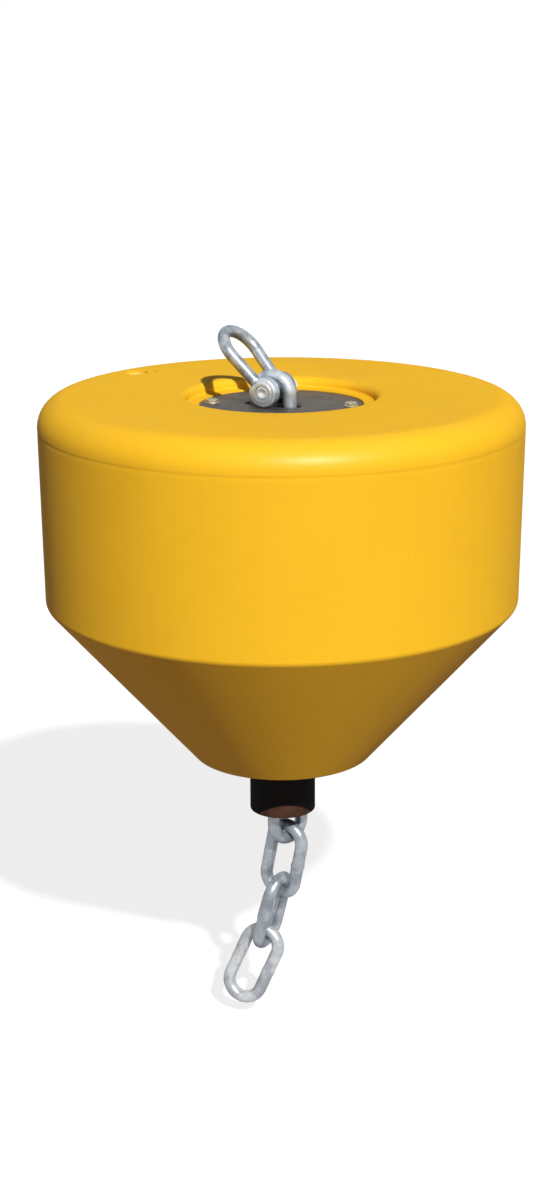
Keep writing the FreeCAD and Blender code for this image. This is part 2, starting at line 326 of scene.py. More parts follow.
def turn_outline(name: str, points: Sequence[tuple[float, float]], segments: int) -> OBJECT:
    """Model a turned piece: a circle that is extruded and resized along its outline.

    Args:
        name: the piece's name.
        points: (radius, height) points of the closed outline.
        segments: vertices round the piece.
    Returns:
        The closed turned mesh.
    """
    radius, z = points[0]
    obj = start(name, bpy.ops.mesh.primitive_circle_add, vertices=segments, radius=radius, location=(0, 0, z))
    with editing(obj):
        for next_radius, next_z in [*points[1:], points[0]]:
            bpy.ops.mesh.extrude_region_move(TRANSFORM_OT_translate={"value": (0, 0, next_z - z)})
            share = next_radius / radius
            bpy.ops.transform.resize(value=(share, share, 1), center_override=(0, 0, next_z))
            radius, z = next_radius, next_z
    return close_up(obj)


# ---- shared shader effects ----
class Group(Enum):
    """The effects that several finishes share."""

    MOTTLE = "mottle"
    GRAIN = "grain"
    SETTLED = "settled_dirt"
    SCRATCH = "scratches"


class Wiring:
    """Short ways to add and link nodes in one tree."""

    def __init__(self, tree: TREE) -> None:
        """Keep the tree to work in."""
        self.tree = tree

    def feed(self, node: bpy.types.Node, inputs: dict[str | int, object]) -> None:
        """Give a node its inputs.

        Args:
            node: the node.
            inputs: a value, or a socket to link from, by input name or number.
        """
        for key, value in inputs.items():
            if isinstance(value, SOCKET):
                self.tree.links.new(value, node.inputs[key])
            else:
                node.inputs[key].default_value = value

    def add(self, kind: str, inputs: dict[str | int, object] | None = None, **settings: object) -> SOCKETS:
        """Add a node.

        Args:
            kind: the node's type.
            inputs: what feeds it, by input name or number.
            settings: the node's own properties.
        Returns:
            Its outputs.
        """
        node = self.tree.nodes.new(kind)
        for key, value in settings.items():
            setattr(node, key, value)
        self.feed(node, inputs or {})
        return node.outputs

    def noise(self, vector: SOCKET, scale: VALUE, detail: float = 4.0, roughness: float = 0.55) -> SOCKET:
        """Noise over coordinates, with its scale per metre, its octaves and their weight."""
        return self.add("ShaderNodeTexNoise", {"Vector": vector, "Scale": scale, "Detail": detail,
                                               "Roughness": roughness})[0]

    def ramp(self, value: SOCKET, low: VALUE, high: VALUE, to_low: float = 0.0,
             to_high: float = 1.0) -> SOCKET:
        """Stretch a value's range from low to high smoothly to the range from to_low to to_high."""
        return self.add("ShaderNodeMapRange", {0: value, 1: low, 2: high, 3: to_low, 4: to_high},
                        interpolation_type="SMOOTHSTEP")[0]

    def math(self, operation: str, a: VALUE, b: VALUE = 0.0) -> SOCKET:
        """One sum, by its operation's name."""
        return self.add("ShaderNodeMath", {0: a, 1: b}, operation=operation)[0]

    def times(self, a: VALUE, b: VALUE) -> SOCKET:
        """The product of two values."""
        return self.math("MULTIPLY", a, b)

    def plus(self, a: VALUE, b: VALUE) -> SOCKET:
        """The sum of two values."""
        return self.math("ADD", a, b)

    def mix(self, share: VALUE, a: object, b: object, blend: str = "MIX") -> SOCKET:
        """Mix a share of the second colour with the first."""
        return self.add("ShaderNodeMix", {0: share, 6: a, 7: b}, data_type="RGBA", blend_type=blend)[2]

    def stretched(self, vector: SOCKET, up: float) -> SOCKET:
        """Coordinates scaled along Z alone."""
        return self.add("ShaderNodeMapping", {"Vector": vector, "Scale": (1.0, 1.0, up)})[0]

    def height_of(self, vector: SOCKET) -> SOCKET:
        """The Z of a vector."""
        return self.add("ShaderNodeSeparateXYZ", {0: vector})[2]

    def seen(self) -> SOCKET:
        """Tell what is looked at from what only sends light.

        Returns:
            1 for rays from the camera, off gloss or through glass, and 0 for the others.
        """
        path = self.add("ShaderNodeLightPath")
        gloss_or_glass = self.math("MAXIMUM", path["Is Glossy Ray"], path["Is Transmission Ray"])
        return self.math("MAXIMUM", path["Is Camera Ray"], gloss_or_glass)

    def close(self, **outputs: SOCKET) -> TREE:
        """Lead a group's results out by name and return the group."""
        self.add("NodeGroupOutput", outputs)
        return self.tree


def start_group(kind: Group, outputs: Sequence[str], **inputs: float | Rgba) -> tuple[Wiring, SOCKETS]:
    """Start a node group with its sockets; the first input is always a Vector.

    Args:
        kind: which effect it is.
        outputs: names of its outputs, of which Color is a colour and the others numbers.
        inputs: default by name, where four numbers make a colour.
    Returns:
        The group's wiring, and its inputs as sockets to link from.
    """
    tree = bpy.data.node_groups.new(kind.value, "ShaderNodeTree")
    tree.interface.new_socket(name="Vector", in_out="INPUT", socket_type="NodeSocketVector")
    for name, default in inputs.items():
        socket_type = "NodeSocketColor" if isinstance(default, tuple) else "NodeSocketFloat"
        socket = tree.interface.new_socket(name=name, in_out="INPUT", socket_type=socket_type)
        socket.default_value = default
    for name in outputs:
        socket_type = "NodeSocketColor" if name == "Color" else "NodeSocketFloat"
        tree.interface.new_socket(name=name, in_out="OUTPUT", socket_type=socket_type)
    return Wiring(tree), tree.nodes.new("NodeGroupInput").outputs


def build_mottle() -> TREE:
    """Soft patches between two colours.

    Returns:
        The group.
    """
    w, source = start_group(Group.MOTTLE, ("Color", "Mask"), Scale=5.0, Plain=(1, 1, 1, 1),
                            Patch=(0, 0, 0, 1), Cover=0.5)
    bare, cover_share, softness = 0.78, 0.5, 0.16
    broad = w.noise(source["Vector"], source["Scale"], 5.0, 0.6)
    threshold = w.math("SUBTRACT", bare, w.times(source["Cover"], cover_share))
    mask = w.ramp(broad, w.math("SUBTRACT", threshold, softness), w.plus(threshold, softness))
    return w.close(Color=w.mix(mask, source["Plain"], source["Patch"]), Mask=mask)


def build_grain() -> TREE:
    """Fine unevenness of a skin, as a height: orange peel with sparse pits.

    Returns:
        The group.
    """
    w, source = start_group(Group.GRAIN, ("Height",), Scale=300.0, Pits=0.3)
    peel = w.noise(source["Vector"], source["Scale"], 3.0, 0.5)
    pit_scale = w.times(source["Scale"], 0.35)
    away = w.add("ShaderNodeTexVoronoi", {"Vector": source["Vector"], "Scale": pit_scale})["Distance"]
    rim = w.ramp(away, 0.05, 0.22)
    depth = w.times(w.math("SUBTRACT", 1.0, rim), source["Pits"])
    return w.close(Height=w.math("SUBTRACT", peel, depth))


def build_settled() -> TREE:
    """A mask of dirt that settles on faces that look up, broken by noise.

    Returns:
        The group.
    """
    w, source = start_group(Group.SETTLED, ("Mask",), Scale=9.0, Amount=0.4)
    facing = w.height_of(w.add("ShaderNodeNewGeometry")["Normal"])
    up = w.ramp(facing, 0.25, 0.95)
    broken = w.ramp(w.noise(source["Vector"], source["Scale"], 6.0, 0.65), 0.4, 0.75)
    return w.close(Mask=w.times(w.times(up, broken), source["Amount"]))


def build_scratches() -> TREE:
    """Thin rubbed streaks that run round the piece, as a mask.

    Returns:
        The group.
    """
    w, source = start_group(Group.SCRATCH, ("Mask",), Scale=30.0, Amount=0.5)
    flattened, patch_share = 14.0, 0.16
    streaks = w.noise(w.stretched(source["Vector"], flattened), source["Scale"], 2.0, 0.5)
    thin = w.ramp(streaks, 0.66, 0.72)
    patches = w.noise(source["Vector"], w.times(source["Scale"], patch_share), 2.0)
    return w.close(Mask=w.times(w.times(thin, w.ramp(patches, 0.52, 0.66)), source["Amount"]))


BUILDERS = {Group.MOTTLE: build_mottle, Group.GRAIN: build_grain, Group.SETTLED: build_settled,
            Group.SCRATCH: build_scratches}


class Finish(Wiring):
    """A material under way, with its shader and its object coordinates."""

    def __init__(self, name: str) -> None:
        """Start a material with a Principled shader.

        Args:
            name: the material's name.
        """
        self.material = bpy.data.materials.new(name)
        self.material.use_nodes = True
        super().__init__(self.material.node_tree)
        self.shader = self.tree.nodes["Principled BSDF"]
        self.vector = self.add("ShaderNodeTexCoord")["Object"]

    def group(self, kind: Group, **values: object) -> SOCKETS:
        """Place a shared effect with its inputs by name; its outputs come back."""
        tree = bpy.data.node_groups.get(kind.value) or BUILDERS[kind]()
        return self.add("ShaderNodeGroup", {"Vector": self.vector, **values}, node_tree=tree)

    def set(self, **values: object) -> None:
        """Set or link the shader's inputs; underscores stand for spaces."""
        self.feed(self.shader, {key.replace("_", " "): value for key, value in values.items()})

    def bump(self, height: SOCKET, distance: float) -> None:
        """Feed a height to the shader's normal, as deep as the distance in metres."""
        self.set(Normal=self.add("ShaderNodeBump", {"Height": height, "Distance": distance,
                                                    "Strength": 1.0})[0])


@dataclass(frozen=True)
class MouldedSkin:
    """Rotomoulded polyethylene: satin gloss, orange peel, faint scuffs and settled dirt."""

    colour: Rgba = (0.975, 0.548, 0.018, 1)
    deep: Rgba = (0.95, 0.522, 0.016, 1)
    dirt: Rgba = (0.62, 0.40, 0.12, 1)
    scuff: Rgba = (0.95, 0.66, 0.14, 1)
    streak: Rgba = (0.80, 0.40, 0.02, 1)
    streak_amount: float = 0.07
    dirt_amount: float = 0.10
    gloss: float = 0.09
    gloss_index: float = 2.8
    gloss_roughness: float = 0.40

    def build(self) -> MATERIAL:
        """Make the material.

        Returns:
            The material.
        """
        w = Finish("moulded_skin")
        tone = w.group(Group.MOTTLE, Scale=2.6, Plain=self.colour, Patch=self.deep, Cover=0.4)
        fine = w.group(Group.MOTTLE, Scale=38.0, Plain=WHITE, Patch=(0.985, 0.98, 0.96, 1), Cover=0.4)
        colour = w.mix(1.0, tone["Color"], fine["Color"], "MULTIPLY")
        streaks = w.ramp(w.noise(w.stretched(w.vector, 0.03), 110.0, 2.0, 0.5), 0.35, 0.65)
        colour = w.mix(w.times(streaks, self.streak_amount), colour, self.streak)
        scratches = w.group(Group.SCRATCH, Scale=26.0, Amount=0.22)["Mask"]
        colour = w.mix(scratches, colour, self.scuff)
        dirt = w.group(Group.SETTLED, Scale=7.0, Amount=self.dirt_amount)["Mask"]
        colour = w.mix(dirt, colour, self.dirt)
        grain = w.group(Group.GRAIN, Scale=210.0, Pits=0.2)["Height"]
        swell = w.times(w.noise(w.vector, 7.0, 2.0, 0.4), 5.0)
        rough = w.plus(0.5, w.times(w.plus(dirt, scratches), 0.3))
        w.set(Base_Color=colour, Roughness=rough, Specular_IOR_Level=0.0, Coat_Weight=self.gloss,
              Coat_IOR=self.gloss_index, Coat_Roughness=self.gloss_roughness)
        w.bump(w.plus(w.times(grain, 0.6), swell), 0.14 * MM)
        return w.material


@dataclass(frozen=True)
class HoseRubber:
    """Black wrapped rubber hose, with a brown reflection painted on above the front of its mouth, where it is
    also rougher.
    """

    colour: Rgba = (0.0030, 0.0012, 0.0010, 1)
    grey: Rgba = (0.0065, 0.0035, 0.0030, 1)
    # painted reflection: a brown lens above the mouth, tallest at the front and fading towards the sides
    painted_reflection: Rgba = (0.085, 0.040, 0.026, 1)
    mouth_z: float = 0.0
    reflection_height: float = 0.024
    reflection_azimuth: float = -84.0
    reflection_from: float = 0.030
    reflection_run: float = 0.026
    wrap_pitch: float = 0.030

    def build(self) -> MATERIAL:
        """Make the material.

        Returns:
            The material.
        """
        w = Finish("hose_rubber")
        tone = w.group(Group.MOTTLE, Scale=24.0, Plain=self.colour, Patch=self.grey, Cover=0.4)
        split = w.add("ShaderNodeSeparateXYZ", {0: w.vector})
        # painted brown reflection: a lens above the mouth, tallest at the front, broken by noise
        azimuth = radians(self.reflection_azimuth)
        facing = w.plus(w.times(split[0], cos(azimuth)), w.times(split[1], sin(azimuth)))
        share = w.math("DIVIDE", w.math("SUBTRACT", facing, self.reflection_from), self.reflection_run)
        edge = w.times(share, self.reflection_height)
        above = w.math("SUBTRACT", split[2], self.mouth_z)
        lens = w.ramp(w.math("SUBTRACT", edge, above), -0.0005, 0.002)
        broken = w.ramp(w.noise(w.vector, 42.0, 5.0, 0.6), 0.30, 0.62, 0.55, 1.0)
        mask = w.times(lens, broken)
        colour = w.mix(mask, tone["Color"], self.painted_reflection)
        turn = w.math("ARCTAN2", split[1], split[0])
        helix = w.plus(w.math("DIVIDE", split[2], self.wrap_pitch), w.math("DIVIDE", turn, tau))
        seam = w.ramp(w.math("PINGPONG", helix, 0.5), 0.0, 0.09)
        grain = w.group(Group.GRAIN, Scale=420.0, Pits=0.5)["Height"]
        height = w.plus(seam, w.times(grain, 0.6))
        w.set(Base_Color=colour, Roughness=w.plus(0.5, w.times(mask, 0.3)),
              Specular_IOR_Level=0.0, Coat_Weight=0.04, Coat_IOR=2.0, Coat_Roughness=0.35)
        w.bump(height, 0.15 * MM)
        return w.material


@dataclass(frozen=True)
class Zinc:
    """Hot dip galvanised steel: blue grey, faint spangle, small runs and pits."""

    name: str = "zinc"
    bright: Rgba = (0.43, 0.475, 0.52, 1)
    dull: Rgba = (0.27, 0.305, 0.345, 1)
    stain: Rgba = (0.11, 0.11, 0.12, 1)
    metallic: float = 0.65
    roughness: float = 0.34
    specular: float = 0.2
    patch_scale: float = 26.0
    stain_amount: float = 0.3
    edge_tint: Rgba = (0.5, 0.52, 0.55, 1)
    # painted reflection: a bright bluish patch round a point, none when the reach is zero
    painted_reflection: Rgba = (0.72, 0.80, 0.88, 1)
    reflection_at: Xyz = (0, 0, 0)
    reflection_reach: float = 0.0

    def build(self) -> MATERIAL:
        """Make the material, with a bright bluish reflection painted on within a reach of a given point,
        where that reach isn't zero.

        Returns:
            The material.
        """
        w = Finish(self.name)
        tone = w.group(Group.MOTTLE, Scale=self.patch_scale, Plain=self.bright, Patch=self.dull, Cover=0.5)
        spangle = w.add("ShaderNodeTexVoronoi", {"Vector": w.vector, "Scale": 150.0})["Color"]
        shade = w.ramp(w.add("ShaderNodeSeparateXYZ", {0: spangle})[0], 0.0, 1.0, 0.93, 1.05)
        grey = w.add("ShaderNodeCombineXYZ", {0: shade, 1: shade, 2: shade})[0]
        colour = w.mix(1.0, tone["Color"], grey, "MULTIPLY")
        spots = w.ramp(w.noise(w.vector, 55.0, 5.0, 0.62), 0.60, 0.74)
        mask = w.times(spots, self.stain_amount)
        colour = w.mix(mask, colour, self.stain)
        # painted bright reflection, fading out towards the edge of its reach
        if self.reflection_reach:
            away = w.add("ShaderNodeVectorMath", {0: w.vector, 1: self.reflection_at}, operation="DISTANCE")
            near = w.ramp(away["Value"], self.reflection_reach, self.reflection_reach * 0.8)
            colour = w.mix(w.times(near, 0.8), colour, self.painted_reflection)
        grain = w.group(Group.GRAIN, Scale=520.0, Pits=0.5)["Height"]
        runs = w.noise(w.stretched(w.vector, 0.45), 95.0, 3.0, 0.5)
        height = w.plus(w.times(grain, 0.35), w.times(runs, 1.4))
        rough = w.plus(self.roughness, w.times(tone["Mask"], 0.12))
        w.set(Base_Color=colour, Metallic=self.metallic, Specular_Tint=self.edge_tint,
              Specular_IOR_Level=self.specular,
              Roughness=w.plus(rough, w.times(mask, 0.4)))
        w.bump(height, 0.22 * MM)
        return w.material


@dataclass(frozen=True)
class FlatPlastic:
    """Small moulded plugs, a little duller than the float."""

    name: str = "plug_plastic"
    colour: Rgba = (0.90, 0.58, 0.10, 1)
    patch: Rgba = (0.86, 0.54, 0.09, 1)
    dirt: Rgba = (0.2, 0.12, 0.05, 1)
    roughness: float = 0.42

    def build(self) -> MATERIAL:
        """Make the material.

        Returns:
            The material.
        """
        w = Finish(self.name)
        tone = w.group(Group.MOTTLE, Scale=60.0, Plain=self.colour, Patch=self.patch, Cover=0.5)
        dirt = w.group(Group.SETTLED, Scale=70.0, Amount=0.2)["Mask"]
        colour = w.mix(dirt, tone["Color"], self.dirt)
        w.set(Base_Color=colour, Roughness=self.roughness, Specular_IOR_Level=0.15)
        w.bump(w.group(Group.GRAIN, Scale=500.0, Pits=0.3)["Height"], 0.12 * MM)
        return w.material


# ---- the object's sub-assemblies ----
@dataclass
class Assembly:
    """A sub-assembly, with the list that its finished pieces go to."""

    made: list[OBJECT]

    def keep(self, obj: OBJECT, body: str, material: MATERIAL, slot: str, *nodes: str) -> None:
        """Dress a piece, fix it to its body and let it stand for its solids.

        Args:
            obj: the finished mesh.
            body: the body that it rides on.
            material: its finish.
            slot: the record's slot for that finish, not used.
            nodes: the solids that it stands for.
        """
        obj.data.materials.clear()
        obj.data.materials.append(material)
        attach(obj, body)
        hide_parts(*nodes)
        self.made.append(obj)


@dataclass
class Float(Assembly):
    """The moulded float with its deck recess, plug and vent."""

    wall_draft: float = 4.3 * MM
    wall_height: float = 341 * MM
    foot_radius: float = 150 * MM
    shoulder: float = 47 * MM
    knuckle: float = 14 * MM
    foot_fillet: float = 10 * MM
    recess_radius: float = 155 * MM
    recess_depth: float = 16 * MM
    recess_lip: float = 11.5 * MM
    recess_floor_fillet: float = 4 * MM
    bore_radius: float = 56.3 * MM
    groove_width: float = 10 * MM
    groove_depth: float = 0.3 * MM
    groove_fillet: float = 4 * MM
    wall_fillet: float = 12 * MM
    shoulder_gap: float = 1 * MM
    lip: float = 0.15 * MM
    well_radius: float = 67 * MM
    well_share: float = 0.2
    clearance: float = 0.3 * MM
    seat_headroom: float = 20 * MM
    segments: int = 288
    plug_segments: int = 48
    plug_azimuth: float = 35.0

    def build(self) -> None:
        """Model the float and its two plugs."""
        low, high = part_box("float_body")
        top, foot, radius = high.z, low.z, high.x
        knuckle_z = top - self.wall_height
        recess_z = top - self.recess_depth
        shoulder_z = top - self.shoulder - self.shoulder_gap
        well_z = self.well_share * foot
        plate_low, plate_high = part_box("top_plate")
        rebate = plate_high.x + self.clearance
        outline = rounded_outline([
            Corner(self.bore_radius, foot, 1.5 * MM),
            Corner(self.foot_radius, foot, self.foot_fillet),
            Corner(radius - self.wall_draft, knuckle_z, self.knuckle),
            Corner(radius, shoulder_z - self.groove_width, self.wall_fillet),
            Corner(radius - self.groove_depth, shoulder_z - 0.35 * self.groove_width, self.groove_fillet),
            Corner(radius + self.lip, shoulder_z, self.groove_fillet),
            Corner(radius + 2 * self.lip, top, self.shoulder),
            Corner(self.recess_radius, top, self.recess_lip),
            Corner(self.recess_radius, recess_z, self.recess_floor_fillet),
            Corner(rebate, recess_z, 1.0 * MM),
            Corner(rebate, plate_low.z),
            Corner(self.well_radius, plate_low.z),
            Corner(self.well_radius, well_z),
            Corner(self.bore_radius, well_z),
        ], 14)
        shell = turn_outline("float_shell", outline, self.segments)
        skin = MouldedSkin().build()
        for node in ("filler_plug", "vent_plug"):
            low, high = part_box(node)
            middle = (low + high) / 2
            depth = top - low.z + self.seat_headroom
            cut_with(shell, rod("seat", (high.x - low.x) / 2 + self.clearance, depth, self.plug_segments,
                                at=(middle.x, middle.y, low.z + depth / 2)))
        close_up(shell, 32)
        self.keep(shell, "float", skin, "float_skin", "float_body")
        self.build_plug("filler_plug", "filler_cap", FlatPlastic(), "plug")
        self.build_plug("vent_plug", "vent_cap",
                        FlatPlastic("vent_plastic", (0.10, 0.05, 0.02, 1), (0.06, 0.03, 0.015, 1)), "vent")

    def build_plug(self, node: str, name: str, finish: FlatPlastic, slot: str) -> None:
        """A round plug with a dished top and a raised grip across it.

        Args:
            node: the solid it stands for.
            name: the piece's name.
            finish: its finish.
            slot: its slot in the record.
        """
        low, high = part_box(node)
        radius = (high.x - low.x) / 2
        depth = high.z - low.z
        middle = (low + high) / 2
        cap = turn_outline(name, rounded_outline([
            Corner(radius * 0.02, low.z), Corner(radius, low.z, radius * 0.04),
            Corner(radius, high.z, radius * 0.08), Corner(radius * 0.80, high.z, radius * 0.04),
            Corner(radius * 0.74, high.z - depth * 0.28, radius * 0.04),
            Corner(radius * 0.02, high.z - depth * 0.22)], 4), self.plug_segments)
        grip = bevel(start("grip", bpy.ops.mesh.primitive_cube_add, size=1,
                           location=(0, 0, high.z - depth * 0.2),
                           scale=(radius * 1.44, radius * 0.26, depth * 0.3)), radius * 0.05, 3)
        turn = Matrix.Rotation(radians(self.plug_azimuth), 4, "Z")
        whole = place(join([cap, grip], name), Matrix.Translation((middle.x, middle.y, 0)) @ turn)
        self.keep(close_up(whole), "float", finish.build(), slot, node)


@dataclass
class ChafeHose(Assembly):
    """The hose out of the cone's foot, its mouth rounded."""

    outer: float = 56 * MM
    wall: float = 6 * MM
    collar_height: float = 12 * MM
    mouth_fillet: float = 2.4 * MM
    segments: int = 128

    def build(self) -> None:
        """Model the hose from its collar to its mouth."""
        low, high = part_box("chafe_hose")
        inner, collar_z = self.outer - self.wall, high.z - self.collar_height
        hose = turn_outline("hose", rounded_outline([
            Corner(inner, low.z, self.mouth_fillet), Corner(self.outer, low.z, self.mouth_fillet),
            Corner(self.outer, collar_z), Corner(high.x, collar_z), Corner(high.x, high.z),
            Corner(inner, high.z)], 6), self.segments)
        self.keep(hose, "float", HoseRubber(mouth_z=low.z).build(), "hose_rubber", "chafe_hose")


@dataclass
class TopPlate(Assembly):
    """The round steel plate in the recess with its four bolts."""

    slot_length: float = 100 * MM
    slot_width: float = 30 * MM
    edge: float = 1.5 * MM
    bolt_circle: float = 115 * MM
    first_bolt: float = -8.0
    bolt_count: int = 4
    across_flats: float = 18.5 * MM
    head_height: float = 4.6 * MM
    washer_radius: float = 12 * MM
    washer_thickness: float = 2 * MM
    bolt_turn: float = 0.35
    dome_top: float = 0.86
    dome_foot: float = 1.5

    def build(self, slot_middle: Vector, slot_azimuth: float) -> None:
        """Model the plate and its bolts.

        Args:
            slot_middle: the slot's middle.
            slot_azimuth: the way the slot runs, in radians.
        """
        low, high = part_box("top_plate")
        thickness, middle_z = high.z - low.z, (low.z + high.z) / 2
        plate = rod("plate", high.x, thickness, 192, at=(0, 0, middle_z))
        at = Matrix.Translation((slot_middle.x, slot_middle.y, middle_z))
        cut_with(plate, place(self.slot_bar(3 * thickness), at @ Matrix.Rotation(slot_azimuth, 4, "Z")))
        close_up(bevel(plate, self.edge, 3, 50), 30)
        finish = Zinc("plate_zinc", bright=(0.148, 0.145, 0.139, 1), dull=(0.126, 0.123, 0.118, 1),
                      stain=(0.07, 0.06, 0.05, 1), metallic=1.0, roughness=0.46, patch_scale=14.0,
                      stain_amount=0.35, edge_tint=(0.62, 0.61, 0.60, 1))
        self.keep(plate, "float", finish.build(), "plate_steel", "top_plate")
        self.build_bolts(high.z)

    def slot_bar(self, depth: float) -> OBJECT:
        """The round-ended bar that cuts the slot, along X.

        Args:
            depth: its height.
        Returns:
            The cutter.
        """
        bar = rod("slot_bar", self.slot_width / 2, depth, 48)
        stretch = (self.slot_length - self.slot_width) / 2
        for side in (-1, 1):
            with editing(bar, lambda co, s=side: co.x * s > 0.1 * MM):
                bpy.ops.transform.translate(value=(side * stretch, 0, 0))
        return bar

    def build_bolts(self, plate_top: float) -> None:
        """Four hexagon heads on washers, each turned a little differently.

        Args:
            plate_top: height of the plate's upper face.
        """
        bolt = self.bolt()
        bolts = []
        for number in range(self.bolt_count):
            azimuth = radians(self.first_bolt + number * 360 / self.bolt_count)
            at = (cos(azimuth) * self.bolt_circle, sin(azimuth) * self.bolt_circle, plate_top)
            turn = Matrix.Rotation(azimuth + self.bolt_turn * number, 4, "Z")
            bolts.append(place(copy_of(bolt, f"bolt_{number + 1}"), Matrix.Translation(at) @ turn))
        bpy.data.objects.remove(bolt)
        whole = close_up(join(bolts, "plate_bolt_heads"), 25)
        finish = Zinc("bolt_zinc", bright=(0.56, 0.51, 0.38, 1), dull=(0.42, 0.37, 0.27, 1),
                      stain=(0.25, 0.16, 0.09, 1), metallic=0.7, roughness=0.38, patch_scale=90.0,
                      stain_amount=0.35)
        self.keep(whole, "float", finish.build(), "bolt_steel", "plate_bolts")

    def bolt(self) -> OBJECT:
        """Model one hexagon head, its corners turned off, on its washer.

        Returns:
            The bolt, standing on the origin.
        """
        washer = bevel(rod("washer", self.washer_radius, self.washer_thickness, 48,
                           at=(0, 0, self.washer_thickness / 2)), 0.5 * MM)
        head_at = (0, 0, self.washer_thickness + self.head_height / 2)
        head = rod("head", self.across_flats / 2 / cos(pi / 6), self.head_height, 6, at=head_at)
        dome = rod("dome", self.across_flats / 2 + 1 * MM, self.head_height * 2, at=head_at)
        with editing(dome, lambda co: co.z > 0):
            bpy.ops.transform.resize(value=(self.dome_top, self.dome_top, 1))
            bpy.ops.transform.translate(value=(0, 0, -self.head_height / 2))
        with editing(dome, lambda co: co.z < 0):
            bpy.ops.transform.resize(value=(self.dome_foot, self.dome_foot, 1))
        cut_with(head, dome, "INTERSECT")
        return join([washer, bevel(head, 0.4 * MM)], "bolt")


@dataclass(frozen=True)
class LinkPlace:
    """Where one chain link lies: its middle, its flat direction and its long axis."""

    middle: Vector
    flat: Vector
    long: Vector

    @staticmethod
    def of(mesh: bpy.types.Mesh) -> "LinkPlace":
        """Read a link's place from its solid's mesh.

        Args:
            mesh: the link's solid.
        Returns:
            Its place, the long axis upwards and the flat direction towards +X.
        """
        points = np.array([v.co for v in mesh.vertices], float)
        middle = points.mean(0)
        spread = np.cov((points - middle).T)
        axes = np.linalg.eigh(spread)[1]
        long, flat = Vector(axes[:, 2]), Vector(axes[:, 1])
        long = long if long.z > 0 else -long
        flat = flat if flat.x > 0 else -flat
        return LinkPlace(Vector(middle), flat, long)

    def matrix(self) -> Matrix:
        """Lead from a link's own axes, flat along X and long along Z, to the frame's.

        Returns:
            The change of axes.
        """
        side = self.long.cross(self.flat)
        turn = Matrix((self.flat, side, self.long)).transposed().to_4x4()
        return Matrix.Translation(self.middle) @ turn


